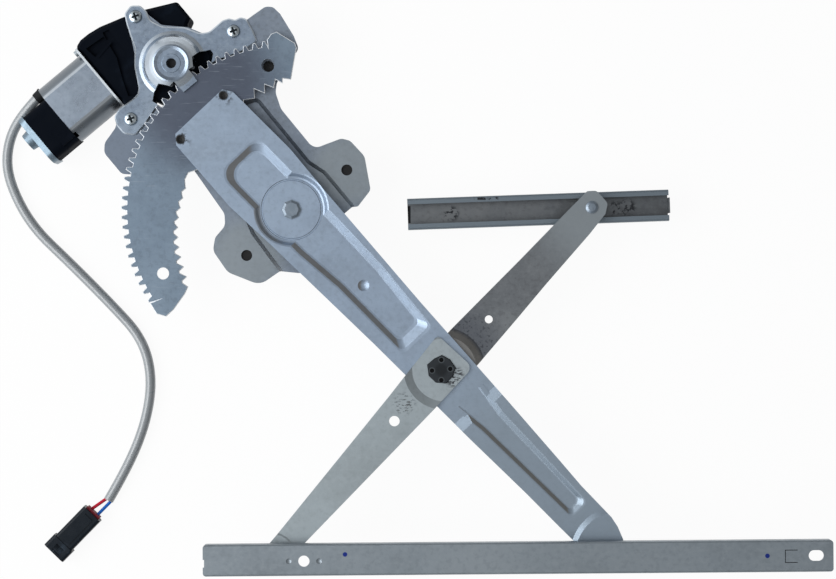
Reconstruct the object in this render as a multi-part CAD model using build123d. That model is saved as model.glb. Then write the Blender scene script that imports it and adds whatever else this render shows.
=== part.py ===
from build123d import *
import math
import os

# Crossed-arm window regulator with its motor, lying on its back as photographed.
# Millimetres. Z = 0 is the surface that the motor's back lies on, +Z faces the viewer,
# +X runs to the viewer's right and +Y up. All shapes are drawn about the main pivot,
# whose place in the part's own frame is PIVOT.

os.makedirs("parts", exist_ok=True)

# Place of the main pivot: it centres the rigid pieces' box on the origin.
PIVOT = (-116.96, 69.63)

# Linkage
ARM = 198.6                 # main pivot to centre pivot, and centre pivot to top roller
LOWER = 229.2               # centre pivot to each roller in the glass rail
REST_ANGLE = 47.0           # each arm's angle to the rails as shown
TILT = 0.46                 # the linkage's rails rise this much to the right
TOP_RAIL_TILT = 2.03        # the loose top rail's own slope

# Sheet thicknesses
PLATE_T = 2.0
ARM_T = 2.5
SECTOR_T = 3.0
RAIL_T = 1.4

# Heights of the underside of each sheet
Z_CHANNEL = 37.0            # bottom of the base plate's pressed channel
Z_PLATE = 40.0
Z_COVER = 42.0
Z_SECTOR = 47.0
Z_ARM = 50.0
Z_ARM_FLOOR = 46.0          # pressed channel of the lift arm
Z_ARM_RAISED = 53.0         # side strips of its lower half
Z_ARM_END = 56.0
Z_REAR_PAD = 47.3           # cross arm's rear half, under the lift arm
Z_REAR = 41.0
Z_FRONT_PAD = 52.7          # cross arm's front half, over the lift arm
Z_FRONT = 56.0
Z_FRONT_END = 56.8
Z_GLASS_RAIL = 60.5
Z_TOP_RAIL = 20.0

# Rails: a lipped channel
RAIL_W = 28.4
RAIL_D = 12.0
RAIL_LIP = 5.2
RAIL_CORNER = 2.2
GLASS_RAIL_ENDS = (-59.3, 501.8)      # along the rail from the guide roller
TOP_RAIL_ENDS = (-166.5, 71.0)        # along the rail from the top roller
ROLLER_R = 12.4
ROLLER_H = 7.6
ROLLER_NECK_R = 7.0
ROLLER_GAP = 0.8              # roller to the rail's web
PIN_R = 4.0
PIN_PLAY = 0.05

# Gears
MODULE = 2.8
SECTOR_TEETH = 108          # on the full circle
PINION_TEETH = 13
ADDENDUM = 0.8 * MODULE
DEDENDUM = 1.0 * MODULE
BACKLASH = 0.5
PRESSURE = 20.0
SECTOR_FROM = 98.9
SECTOR_TO = 213.2
EDGE_BREAK = 0.6            # sheared edge's rounding
PINION_ANGLE = 129.4        # direction of the pinion from the main pivot

# Motor, along its own axis: U is measured from the output shaft, towards the worm's end
MOTOR_ANGLE = 40.0
WORM_OFFSET = 34.0          # motor axis to output shaft
MOTOR_Z = 20.0
CAN_W = 61.0
CAN_D = 40.0
CAN_FLAT = 35.0
BELL_LEFT = 18.5            # end bell, to each side of the motor's axis
BELL_RIGHT = 30.1
CAN_T = 1.8
CAN_STEP = 1.3
CAN_STEP_RUN = 2.4
U_FLANGE = -59.4
U_CAN_END = -109.2
U_BELL_END = -135.3
U_CAP_END = -140.6
U_BOSS_END = -147.8
U_WORM_END = 39.6

# Cord
CORD_D = 9.4


def polar(radius, degrees, centre=(0, 0)):
    a = math.radians(degrees)
    return (centre[0] + radius * math.cos(a), centre[1] + radius * math.sin(a))


M_AT = polar(ARM, TILT - REST_ANGLE)
B_AT = polar(2 * ARM * math.cos(math.radians(REST_ANGLE)), TILT)
A_AT = polar(ARM + LOWER, TILT - REST_ANGLE)
C_AT = polar(LOWER, TILT + 180 + REST_ANGLE, M_AT)
CENTRE_DISTANCE = MODULE * (SECTOR_TEETH + PINION_TEETH) / 2
SHAFT_AT = polar(CENTRE_DISTANCE, PINION_ANGLE)
ARM_DIR = TILT - REST_ANGLE
CROSS_DIR = TILT + REST_ANGLE

nodes = {}


def add(name, shape):
    nodes[name] = shape.moved(Location((PIVOT[0], PIVOT[1], 0)))


def at(x, y, z=0.0, angle=0.0):
    return Location((x, y, z), (0, 0, 1), angle)


def outline(points):
    return make_face(Polyline(*points, close=True))


def smooth(points, radii):
    """A face with its corners rounded, one radius for all or one for each corner."""
    face = outline(points)
    if not isinstance(radii, (list, tuple)):
        return fillet(face.vertices(), radii)
    for point, radius in zip(points, radii):
        if radius:
            near = face.vertices().sort_by_distance((point[0], point[1], 0))[0]
            face = fillet(near, radius)
    return face


def slab(face, z, thickness):
    return extrude(Pos(0, 0, z) * face, thickness)


def drum(radius, z0, z1, centre=(0, 0)):
    return Pos(centre[0], centre[1], (z0 + z1) / 2) * Cylinder(radius, z1 - z0)


def ring(outer, inner, z0, z1, centre=(0, 0)):
    return drum(outer, z0, z1, centre) - drum(inner, z0 - 1, z1 + 1, centre)


def spun(points, centre=(0, 0)):
    """Solid of revolution about a vertical line: points are (radius, height)."""
    face = outline([(r, 0, z) for r, z in points])
    return Pos(centre[0], centre[1], 0) * revolve(face, Axis.Z)


def along(centre, degrees):
    """Location whose X runs along an arm or a rail from a centre."""
    return at(centre[0], centre[1], 0, degrees)


def joggled_disc(centre, r_in, z_in, r_out, z_out, thick):
    """Sheet that steps from z_in to z_out between two radii."""
    return spun([(0, z_in), (r_in, z_in), (r_out, z_out), (r_out + 0.6, z_out),
                 (r_out + 0.6, z_out + thick), (r_out, z_out + thick), (r_in, z_in + thick),
                 (0, z_in + thick)], centre)


def gear_points(teeth, first, count, flank_steps):
    """Outline points of consecutive teeth, from the first tooth's centre line in degrees."""
    pitch_r = MODULE * teeth / 2
    base_r = pitch_r * math.cos(math.radians(PRESSURE))
    tip_r = pitch_r + ADDENDUM
    root_r = pitch_r - DEDENDUM
    inv = math.tan(math.radians(PRESSURE)) - math.radians(PRESSURE)
    half = math.pi / (2 * teeth) - BACKLASH / 2 / pitch_r
    start_r = max(base_r, root_r)
    flank = []
    for i in range(flank_steps + 1):
        r = start_r + (tip_r - start_r) * i / flank_steps
        a = math.acos(min(1.0, base_r / r))
        flank.append((r, half + inv - (math.tan(a) - a)))
    if start_r > root_r + 0.2:
        flank.insert(0, (root_r, flank[0][1]))
    points = []
    pitch = 2 * math.pi / teeth
    for k in range(count):
        middle = math.radians(first) + k * pitch
        for r, a in flank:
            points.append((r * math.cos(middle - a), r * math.sin(middle - a)))
        for r, a in reversed(flank):
            points.append((r * math.cos(middle + a), r * math.sin(middle + a)))
    return points


def screw_head(centre, z, radius=6.0, height=3.6):
    head = spun([(0, z), (radius, z), (radius, z + 1.0), (radius * 0.85, z + 2.6),
                 (radius * 0.45, z + height), (0, z + height)], centre)
    for turn in (20, 110):
        cross = at(centre[0], centre[1], z + height, turn) * Box(radius * 1.2, 1.9, 3.6)
        head = head - cross
    return head


# Base plate

PLATE_OUTLINE = [(-42, 171), (-24, 183.8), (-17.2, 183.3), (-10.8, 177.2), (1.6, 157), (6, 145.8),
                 (-13.8, 115), (-15, 106), (-10, 91.2), (16.4, 59), (22, 56), (44.5, 64.5),
                 (52.5, 62.5), (65.5, 48.5), (71, 18), (59.5, 3), (54, 2.5), (47.5, -3),
                 (9, -57.5), (-11, -55.5), (-29, -68), (-58, -56.5), (-71.5, -37), (-69.5, -25),
                 (-60.5, -14.5), (-61, -3.5), (-86, 32), (-90, 37.5), (-128, 31), (-154, 32.5),
                 (-169.8, 51.5), (-169.3, 60.5), (-160, 73.5), (-155, 88), (-138, 106.5), (-141, 135),
                 (-146, 158), (-150, 171), (-147, 180), (-139, 183.5), (-132, 178),
                 (-118, 167), (-94, 165), (-79.5, 159), (-69, 162), (-59, 171)]
PLATE_FILLETS = [3, 8, 6, 6, 3, 6, 10, 12, 14, 8, 8, 8, 8, 10, 6, 3, 2, 4,
                 6, 4, 14, 12, 10, 8, 9, 9, 4, 3, 8, 6, 8, 8, 3, 3, 6, 6,
                 4, 5, 6, 5, 6, 6, 6, 5, 4, 4]
# Openings beside the pinion, through the plate and the gear cover
WINDOW_LEFT = [(-126.0, 98), (-124.5, 106), (-119.5, 113), (-112, 111.5), (-104, 108.5), (-103, 100),
               (-118, 93)]
WINDOW_RIGHT = [(-89, 137), (-83, 142.5), (-73.5, 144.5), (-71, 141), (-73, 131), (-84, 122), (-88, 127)]
PLATE_HOLES = [(49.5, 36.0), (-41.0, -41.2), (-21.2, 129.6), (-130.0, 52.0)]
COVER_TABS = [(-141.2, 174.2), (-52.6, 161.1), (-145.2, 81.9)]
HOLE_R = 5.0
TAB_HOLE_R = 3.2
PIVOT_RIVET_R = 8.0
PIVOT_R = 7.0
PIVOT_HEAD_R = 9.0
PLATE_WINDOW_R = 29.0
NUT_R = 3.0
NUT_H = 8.0
CHANNEL_OUTLINE = [(-31, 102), (16, 44.5), (30.5, 35), (56, 4.5), (60, -12), (20, -64), (-4, -66),
                   (-15.5, -51), (-37, -22), (-43, -7.5), (-52, 8), (-78, 52), (-60, 92)]


def plate_channel(z):
    sketch = smooth(CHANNEL_OUTLINE, 7)
    return extrude(Pos(0, 0, z) * sketch, -(Z_PLATE - Z_CHANNEL), taper=48)


def base_plate():
    body_face = smooth(PLATE_OUTLINE, PLATE_FILLETS)
    plate = slab(body_face, Z_PLATE, PLATE_T)
    hem = extrude(Pos(0, 0, Z_CHANNEL - 2) * body_face, 12)
    plate = plate + (plate_channel(Z_PLATE) & hem) - plate_channel(Z_PLATE + PLATE_T)
    for x, y in PLATE_HOLES:
        plate = plate - drum(HOLE_R, Z_PLATE - 1, Z_PLATE + 3, (x, y))
    plate = plate - drum(PLATE_WINDOW_R, Z_PLATE - 1, Z_PLATE + 3, SHAFT_AT)
    windows = outline(WINDOW_LEFT) + outline(WINDOW_RIGHT)
    plate = plate - slab(windows, Z_PLATE - 1, PLATE_T + 2)
    plate = plate - drum(PIVOT_RIVET_R, Z_CHANNEL - 1, Z_CHANNEL + 4)
    for x, y in COVER_TABS:
        plate = plate - drum(TAB_HOLE_R, Z_PLATE - 1, Z_PLATE + 3, (x, y))
    return plate


def weld_nuts():
    nuts = []
    for x, y in PLATE_HOLES:
        body = drum(8.0, Z_PLATE - NUT_H, Z_PLATE, (x, y))
        nuts.append(body - drum(NUT_R, Z_PLATE - NUT_H - 1, Z_PLATE - 1, (x, y)))
    return Compound(nuts)


def main_pivot_pin():
    top = Z_ARM_FLOOR + ARM_T
    head = slab(RegularPolygon(PIVOT_HEAD_R, 8), top + 0.1, 0.8)
    head = head + extrude(Pos(0, 0, top + 0.9) * RegularPolygon(PIVOT_HEAD_R - 0.4, 8), 1.3, taper=58)
    return spun([(0, Z_CHANNEL - 3.2), (9, Z_CHANNEL - 3.2), (11, Z_CHANNEL - 2), (11, Z_CHANNEL),
                 (PIVOT_RIVET_R, Z_CHANNEL), (PIVOT_RIVET_R, Z_CHANNEL + PLATE_T),
                 (15, Z_CHANNEL + PLATE_T), (15, Z_ARM_FLOOR - 0.1), (PIVOT_R, Z_ARM_FLOOR - 0.1),
                 (PIVOT_R, top + 0.5), (0, top + 0.5)]) + head


# Sector gear and lift arm

INNER_RIGHT = [(-0.5, 117), (-8, 118), (-8, 113.5), (-14.5, 117), (-16, 109.5), (-24, 112.5),
               (-24, 104.5), (-33.5, 108.5), (-33, 100), (-43, 98.5)]
SECTOR_HOLES = [(-21.2, 129.6, 5.9), (-115.6, -57.6, 5.4)]       # x, y, radius
RIVET_SPOTS = [(-60.8, 102.6), (-99.5, 63.0)]
RIVET_R = 3.5
TIP_POINTS = [(-127.5, -84.5), (-121.5, -94), (-113, -96.5), (-106, -90), (-96, -76), (-93, -69.5)]
RACK_TEETH = 10             # along the sector's inner edge
RACK_PITCH = 8.9
RACK_START = (-93.5, -67.5)
RACK_BOW = 9.0


def sector_gear():
    count = int((SECTOR_TO - SECTOR_FROM) / (360 / SECTOR_TEETH)) + 1
    phase = PINION_ANGLE - round((PINION_ANGLE - SECTOR_FROM) * SECTOR_TEETH / 360) * 360 / SECTOR_TEETH
    teeth = gear_points(SECTOR_TEETH, phase, count, 2)
    points = teeth + TIP_POINTS
    for k in range(RACK_TEETH):
        x = RACK_START[0] - RACK_BOW * math.sin(math.pi * (k + 0.4) / RACK_TEETH)
        y = RACK_START[1] + k * RACK_PITCH
        points += [(x - 3.4, y + 1.4), (x - 3.6, y + 3.2), (x + 0.4, y + 6.7), (x - 0.3, y + 7.6)]
    points += [(-96, 27), (-93, 33), (-84, 36), (-64, 62), (-44, 82)]
    points += list(reversed(INNER_RIGHT))
    points += [(4.5, 146), (3, 150), (-2, 153), (-13.5, 160), (-18.5, 158), (-22, 153)]
    body = slab(outline(points), Z_SECTOR, SECTOR_T)
    body = chamfer(body.edges().group_by(Axis.Z)[-1], EDGE_BREAK)
    for x, y, r in SECTOR_HOLES:
        body = body - drum(r, Z_SECTOR - 1, Z_SECTOR + 5, (x, y))
    for x, y in RIVET_SPOTS:
        body = body - drum(RIVET_R, Z_SECTOR - 1, Z_SECTOR + 5, (x, y))
    return body


HUB_R = 9.0
ARM_TAIL = -121.0
ARM_RIGHT = [(ARM_TAIL + 8, 34.5), (-40, 36.6), (10, 33.3), (140, 26.9), (260, 22.8), (330, 19.8),
             (360, 18.3), (398, 18.6), (408, 16.8), (421, 12.0)]
ARM_LEFT = [(ARM_TAIL + 8, -35.5), (-40, -38.5), (10, -35.3), (140, -29.2), (260, -25.4), (330, -22.3),
            (372, -21.3), (392, -20.6)]
ARM_END_R = 14.0


def arm_outline():
    points = [(ARM_TAIL, -29), (ARM_TAIL, 29)] + ARM_RIGHT + [(ARM + LOWER, ARM_END_R)]
    points += [(ARM + LOWER, -ARM_END_R)] + list(reversed(ARM_LEFT))
    body = outline(points) + Pos(ARM + LOWER, 0) * Circle(ARM_END_R)
    return along((0, 0), ARM_DIR) * body


LOWER_START = 251.0
SLOPE_RUN = 10.0
# Edges of the pressed channels, where they leave the sheet and where they reach the floor
UPPER_TOP = [(-69, -26), (-69, 23), (40, 25), (93, 24.7), (164, 19.5), (164, -17), (80, -18.8), (33, -24)]
UPPER_LOW = [(-61, -18.5), (-61, 15.5), (40, 17.5), (93, 17.2), (150, 12.5), (150, -10), (80, -11.5),
             (33, -16.5)]
UPPER_RADII = [13, 11, 30, 30, 5, 5, 30, 30]
LOWER_TOP = [(232, -17), (232, 17), (262, 13), (374, 12.6), (374, -8), (262, -13)]
LOWER_LOW = [(232, -11.5), (232, 11.5), (262, 7.5), (367, 7.5), (367, -3.2), (262, -7.5)]
LOWER_RADII = [0, 0, 0, 5.5, 4.5, 0]
PRESS_CURVE = [(0, 0), (0.2, 0.08), (0.5, 0.5), (0.8, 0.92), (1, 1)]      # share of the run, share of the depth


def pressed(top, low, radii, z, depth):
    """A pressed channel whose walls ease in and out."""
    sections = []
    for run, drop in PRESS_CURVE:
        points = [(a + (c - a) * run, b + (d - b) * run) for (a, b), (c, d) in zip(top, low)]
        sections.append(Pos(0, 0, z - depth * drop) * smooth(points, radii))
    return loft(sections, ruled=True)


BOSS = [(28.5, 1), (29.9, 0.88), (32.5, 0.12), (33.9, 0)]      # radius, share of the depth


def upper_channel(z):
    """The upper pressed channel, widened round the main pivot, from a height downwards."""
    deep = Z_ARM - Z_ARM_FLOOR
    boss = spun([(0, z - deep)] + [(r, z - deep * drop) for r, drop in BOSS] + [(0, z)])
    return pressed(UPPER_TOP, UPPER_LOW, UPPER_RADII, z, deep) + boss


def lift_arm():
    place = along((0, 0), ARM_DIR)
    sheet = arm_outline()
    tall = slab(sheet, Z_ARM_FLOOR - 5, 30)
    slope_from = LOWER_START - SLOPE_RUN
    upper_box = place * (Pos((slope_from + ARM_TAIL) / 2 - 5, 0, Z_ARM + ARM_T / 2)
                         * Box(slope_from - ARM_TAIL + 10, 100, ARM_T))
    slope = Polyline((slope_from, 0, Z_ARM), (LOWER_START, 0, Z_ARM_RAISED),
                     (LOWER_START, 0, Z_ARM_RAISED + ARM_T), (slope_from, 0, Z_ARM + ARM_T), close=True)
    slope = place * extrude(make_face(slope), 50, both=True, dir=(0, 1, 0))
    end_from = ARM + LOWER - 44
    lower_box = place * (Pos((LOWER_START + end_from) / 2 + 15, 0, Z_ARM_RAISED + ARM_T / 2)
                         * Box(end_from - LOWER_START + 30, 100, ARM_T))
    lower_box = lower_box - drum(44, Z_ARM, Z_ARM_END + 5, A_AT)
    end = joggled_disc(A_AT, 39.5, Z_ARM_END, 44, Z_ARM_RAISED, ARM_T)
    body = (upper_box + slope + lower_box + end) & tall
    bump = place * upper_channel(Z_ARM)
    pocket = place * upper_channel(Z_ARM + ARM_T)
    body = body - pocket + (bump - pocket)
    rise = Z_ARM_RAISED - Z_ARM
    low_bump = place * pressed(LOWER_TOP, LOWER_LOW, LOWER_RADII, Z_ARM_RAISED, rise)
    low_pocket = place * pressed(LOWER_TOP, LOWER_LOW, LOWER_RADII, Z_ARM_RAISED + ARM_T, rise)
    before = place * (Pos(slope_from - 31, 0, Z_ARM_RAISED + 5) * Box(62, 60, 10))
    body = body - low_pocket + ((low_bump - before) - low_pocket)
    groove = spun([(26.4, Z_ARM_FLOOR + ARM_T - 0.8), (27.4, Z_ARM_FLOOR + ARM_T - 0.8),
                   (28.4, Z_ARM_FLOOR + ARM_T + 1), (25.4, Z_ARM_FLOOR + ARM_T + 1)])
    body = body - groove
    dimple = place * (Pos(94.2, 0, Z_ARM_FLOOR + ARM_T + 6.6) * Sphere(8.4))
    body = body - dimple
    body = body - drum(PIVOT_R + PIN_PLAY, Z_ARM_FLOOR - 5, Z_ARM + 5)
    body = body - drum(HUB_R + PIN_PLAY, Z_ARM - 5, Z_ARM + 8, M_AT)
    body = body - drum(PIN_R, Z_ARM, Z_ARM_END + 5, A_AT)
    top = Z_ARM + ARM_T
    for spot in RIVET_SPOTS:
        body = body - spun([(0, Z_ARM - 1), (RIVET_R, Z_ARM - 1), (RIVET_R, top - 1.0), (RIVET_R + 1.0, top),
                            (RIVET_R + 1.0, top + 1), (0, top + 1)], spot)
    return body


def arm_rivets():
    top = Z_ARM + ARM_T
    return Compound([spun([(0, Z_SECTOR), (RIVET_R, Z_SECTOR), (RIVET_R, top - 1.0), (1.4, top - 1.6),
                           (0, top - 1.6)], spot) for spot in RIVET_SPOTS])


def lift_roller_pin():
    return spun([(0, Z_ARM_END - 1.8), (6.5, Z_ARM_END - 1.8), (6.5, Z_ARM_END), (PIN_R, Z_ARM_END),
                 (PIN_R, Z_GLASS_RAIL + RAIL_D - 2.4), (0, Z_GLASS_RAIL + RAIL_D - 2.4)], A_AT)


# Cross arm

FRONT_OUTLINE = [(-19.5, -24.8), (-19.5, 18), (30, 17.8), (200, 13.3), (LOWER, 12.0), (LOWER, -9.5),
                 (210, -10.1), (120, -15.6), (50, -19.9), (30, -21.5)]
FRONT_FILLETS = [4, 7, 20, 0, 0, 0, 0, 60, 30, 20]
REAR_OUTLINE = [(-22, -20), (-22, 20), (30, 19.2), (80, 17.3), (120, 15.7), (180, 14.0), (ARM + 8, 13.0),
                (ARM + 14, 7), (ARM + 12.5, -8), (ARM + 4, -13), (180, -14.8), (120, -16.4),
                (80, -18.2), (30, -20)]
REAR_FILLETS = [8, 8, 0, 0, 0, 0, 3, 5, 5, 3, 0, 0, 0, 0]


def cross_front_outline():
    """Along the arm from the centre pivot towards the guide roller."""
    body = smooth(FRONT_OUTLINE, FRONT_FILLETS) + Pos(LOWER, 1) * Circle(11.0)
    return along(M_AT, CROSS_DIR + 180) * body


def cross_front():
    tall = slab(cross_front_outline(), Z_FRONT_PAD - 5, 20)
    flat = slab(cross_front_outline(), Z_FRONT, ARM_T)
    end_r = 24
    flat = flat - drum(35.5, Z_FRONT - 5, Z_FRONT + 9, M_AT) - drum(end_r, Z_FRONT - 5, Z_FRONT + 9, C_AT)
    pad = joggled_disc(M_AT, 28, Z_FRONT_PAD, 35.5, Z_FRONT, ARM_T)
    end = joggled_disc(C_AT, end_r - 1.6, Z_FRONT_END, end_r, Z_FRONT, ARM_T)
    body = flat + (pad & tall) + (end & tall)
    body = body - drum(HUB_R, Z_FRONT_PAD - 5, Z_FRONT + 9, M_AT)
    body = body - drum(PIN_R, Z_FRONT - 5, Z_FRONT + 9, C_AT)
    hole = (92.7, -190.0)
    return body - drum(4.7, Z_FRONT - 5, Z_FRONT + 9, hole)


def cross_rear_outline():
    """Along the arm from the centre pivot towards the top roller."""
    return along(M_AT, CROSS_DIR) * smooth(REAR_OUTLINE, REAR_FILLETS)


def cross_rear():
    tall = slab(cross_rear_outline(), Z_REAR - 5, 20)
    flat = slab(cross_rear_outline(), Z_REAR, ARM_T) - drum(38, Z_REAR - 5, Z_REAR + 9, M_AT)
    pad = joggled_disc(M_AT, 30, Z_REAR_PAD, 38, Z_REAR, ARM_T)
    body = flat + (pad & tall)
    body = body - drum(HUB_R, Z_REAR - 5, Z_REAR + 12, M_AT)
    body = body - drum(PIN_R, Z_REAR - 5, Z_REAR + 9, B_AT)
    hole = (177.8, -99.0)
    return body - drum(3.6, Z_REAR - 5, Z_REAR + 9, hole)


HUB_TOP = Z_FRONT_PAD + ARM_T


HUB_HEAD = [(13.2, 8), (12.2, 50), (13.4, 88), (12.0, 122), (13.6, 160), (12.6, 205), (12.4, 246),
            (13.0, 290), (11.8, 330)]      # the upset head's uneven rim: radius, direction
HUB_SHIFT = -1.8
HUB_HOLES = [(0, 9.0), (-8.4, -0.6), (0, -9.2), (8.0, 0.9)]


def centre_hub():
    shank = drum(HUB_R, Z_REAR_PAD - 1.4, HUB_TOP, M_AT) + drum(12.5, Z_REAR_PAD - 2.4, Z_REAR_PAD, M_AT)
    middle = (M_AT[0] + HUB_SHIFT, M_AT[1])
    head = slab(outline([polar(r, turn, middle) for r, turn in HUB_HEAD]), HUB_TOP, 1.6)
    head = chamfer(head.edges().group_by(Axis.Z)[-1], 0.7)
    body = shank + head
    for x, y in HUB_HOLES:
        body = body - drum(2.0, HUB_TOP + 0.3, HUB_TOP + 3, (middle[0] + x, middle[1] + y))
    return body


def guide_roller_pin():
    return spun([(0, Z_FRONT_END - 1.8), (6.0, Z_FRONT_END - 1.8), (6.0, Z_FRONT_END),
                 (PIN_R, Z_FRONT_END), (PIN_R, Z_GLASS_RAIL + RAIL_D - 2.4),
                 (0, Z_GLASS_RAIL + RAIL_D - 2.4)], C_AT)


def top_roller_pin():
    top = Z_REAR + ARM_T
    return spun([(0, Z_TOP_RAIL + 2.4), (PIN_R, Z_TOP_RAIL + 2.4), (PIN_R, top), (5.6, top),
                 (5.6, top + 0.9), (3.4, top + 2.0), (0, top + 2.2)], B_AT)


def roller(centre, z_disc, z_neck_end):
    """Nylon roller with a neck that passes between the rail's lips."""
    low, high, bore = z_disc, z_disc + ROLLER_H, PIN_R + PIN_PLAY
    neck = (z_neck_end, low) if z_neck_end < low else (high, z_neck_end)
    return ring(ROLLER_R, bore, low, high, centre) + ring(ROLLER_NECK_R, bore, *neck, centre)


# Rails

def rail_section(open_up):
    """Lipped channel section across Y and Z, web at one side and lips at the other."""
    w, d, t = RAIL_W / 2, RAIL_D, RAIL_T
    body = fillet(Rectangle(2 * w, d).vertices(), RAIL_CORNER)
    inner = fillet(Rectangle(2 * (w - t), d - 2 * t).vertices(), RAIL_CORNER - t)
    slot = Pos(0, -d / 2) * Rectangle(2 * (w - RAIL_LIP), 3 * t)
    section = body - inner - slot
    if open_up:
        section = Rot(0, 0, 180) * section
    return section


def rail(section, ends, z, centre, tilt):
    length = ends[1] - ends[0]
    stand = Plane(origin=(ends[0], 0, z + RAIL_D / 2), x_dir=(0, 1, 0), z_dir=(1, 0, 0))
    return along(centre, tilt) * extrude(stand * section, length)


RAIL_HOLE = (30.7, -0.9)
RAIL_HOLE_R = 5.0
RAIL_SLOT = (486.5, 0.5)
RAIL_SLOT_SIZE = (13.5, 9.6)
DIMPLE_REACH = 13.5
LANCE_AT = 464.5
LANCE = 11.0
LANCE_DEPTH = 1.0
RAIL_END_R = 3.2


def glass_rail():
    body = rail(rail_section(False), GLASS_RAIL_ENDS, Z_GLASS_RAIL, C_AT, TILT)
    place = along(C_AT, TILT)
    top = Z_GLASS_RAIL + RAIL_D
    hole = place * (Pos(*RAIL_HOLE, top) * Cylinder(RAIL_HOLE_R, 8))
    slot = place * (Pos(*RAIL_SLOT, top) * extrude(SlotOverall(*RAIL_SLOT_SIZE), 6, both=True))
    body = body - hole - slot
    for side in (-DIMPLE_REACH, DIMPLE_REACH):
        body = body - place * (Pos(RAIL_HOLE[0] + side, RAIL_HOLE[1], top + 3.1) * Sphere(4.0))
    x, half, slit = LANCE_AT, LANCE / 2, 0.7
    for y in (-half, half):
        body = body - place * (Pos(x, y, top) * Box(LANCE, slit, LANCE_DEPTH * 2))
    body = body - place * (Pos(x - half, 0, top) * Box(slit, LANCE + slit, LANCE_DEPTH * 2))
    notch = place * (Pos(GLASS_RAIL_ENDS[0], -2.5, top) * Box(2.4, 7, 8))
    middle, length = sum(GLASS_RAIL_ENDS) / 2, GLASS_RAIL_ENDS[1] - GLASS_RAIL_ENDS[0]
    ends = slab(Pos(middle, 0) * RectangleRounded(length, RAIL_W, RAIL_END_R), Z_GLASS_RAIL - 1, RAIL_D + 2)
    return (body & (place * ends)) - notch


def top_rail():
    body = rail(rail_section(True), TOP_RAIL_ENDS, Z_TOP_RAIL, B_AT, TOP_RAIL_TILT)
    place = along(B_AT, TOP_RAIL_TILT)
    tab = place * (Pos(TOP_RAIL_ENDS[1] + 0.7, 0, Z_TOP_RAIL + 4.2) * Box(1.4, 14, 8.4))
    return body + tab


STUD_PLACES = (-125.0, 40.0)
STUD_R = 3.0
STUD_L = 12.0


def rail_studs():
    out = []
    for x in STUD_PLACES:
        stud = drum(STUD_R, Z_TOP_RAIL - STUD_L, Z_TOP_RAIL - 1.6, (x, 0))
        stud = stud + drum(6.5, Z_TOP_RAIL - 1.6, Z_TOP_RAIL, (x, 0))
        out.append(along(B_AT, TOP_RAIL_TILT) * stud)
    return Compound(out)


# Motor and gearbox, drawn with the output shaft at the origin and the worm along X

MOTOR_PLACE = at(SHAFT_AT[0], SHAFT_AT[1], 0, MOTOR_ANGLE)


def across(u, section):
    """Stand a section drawn in Y and Z at a place along the motor's axis."""
    stand = Plane(origin=(u, WORM_OFFSET, MOTOR_Z), x_dir=(0, 1, 0), z_dir=(1, 0, 0))
    return stand * section


def can_section(shrink=0.0):
    """The can's outline: a raised flat over rounded sides, above and below."""
    flat, shoulder = CAN_FLAT / 2, CAN_FLAT / 2 + CAN_STEP_RUN
    side, top = CAN_W / 2 - shrink, CAN_D / 2 - shrink
    low = top - CAN_STEP
    edges = Line((-flat, top), (flat, top)) + Line((flat, top), (shoulder, low))
    edges += ThreePointArc((shoulder, low), (side, 0), (shoulder, -low))
    edges += Line((shoulder, -low), (flat, -top)) + Line((flat, -top), (-flat, -top))
    edges += Line((-flat, -top), (-shoulder, -low))
    edges += ThreePointArc((-shoulder, -low), (-side, 0), (-shoulder, low))
    edges += Line((-shoulder, low), (-flat, top))
    return make_face(edges)


def motor_can():
    length = U_FLANGE - U_CAN_END
    body = extrude(across(U_CAN_END, can_section()), length)
    body = body - extrude(across(U_CAN_END + CAN_T, can_section(CAN_T)), length)
    mouth = Pos((BELL_LEFT - BELL_RIGHT) / 2, 0) * RectangleRounded(BELL_LEFT + BELL_RIGHT - 6, CAN_D - 6, 6)
    body = body - extrude(across(U_CAN_END - 1, mouth), 2 * CAN_T)
    slot = Pos(U_FLANGE - 5.0, WORM_OFFSET + 1.0, CAN_D) * Box(2.0, 6.0, 1.2)
    return MOTOR_PLACE * (body - slot)


FLANGE_T = 2.0


def motor_flange():
    face = RectangleRounded(CAN_W + 5, CAN_D + 1, 9)
    body = extrude(across(U_FLANGE, Pos(2.5, 0.5) * face), FLANGE_T)
    body = body - extrude(across(U_FLANGE - 1, Circle(11)), 4)
    return MOTOR_PLACE * body


FLANGE_SCREWS = [(31.5, 13.0), (-28.5, -15.0)]


def flange_screws():
    out = []
    for y, z in FLANGE_SCREWS:
        head = Pos(U_FLANGE - 1.4, WORM_OFFSET + y, MOTOR_Z + z) * Rot(0, 90, 0) * Cylinder(2.9, 2.8)
        out.append(MOTOR_PLACE * head)
    return Compound(out)


def magnets():
    out = []
    for side in (1, -1):
        arc = can_section(2.0) - Circle(22.6) - Rectangle(CAN_FLAT + 6, 2 * CAN_D)
        half = arc & (Pos(side * 25, 0) * Rectangle(20, 26))
        out.append(MOTOR_PLACE * extrude(across(U_CAN_END + 6, half), 38))
    return Compound(out)


def end_bell():
    left, right = BELL_LEFT, BELL_RIGHT
    width = left + right
    face = Pos((left - right) / 2, 0) * RectangleRounded(width, CAN_D - 1.0, 9)
    body = extrude(across(U_BELL_END, face), U_CAN_END - U_BELL_END)
    step = Pos(U_CAN_END - 7, WORM_OFFSET - 17.5, CAN_D + 0.1) * Box(14, 17, 1.6)
    body = body + (step & Pos(U_CAN_END - 7, WORM_OFFSET - 17, CAN_D) * Box(14, 18, 4))
    inner = Pos((left - right) / 2, 0) * RectangleRounded(width - 6, CAN_D - 6, 6)
    body = body - extrude(across(U_BELL_END + 2.5, inner), U_CAN_END - U_BELL_END)
    return MOTOR_PLACE * (body - extrude(across(U_BELL_END - 1, Circle(6.0)), 8))


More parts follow.
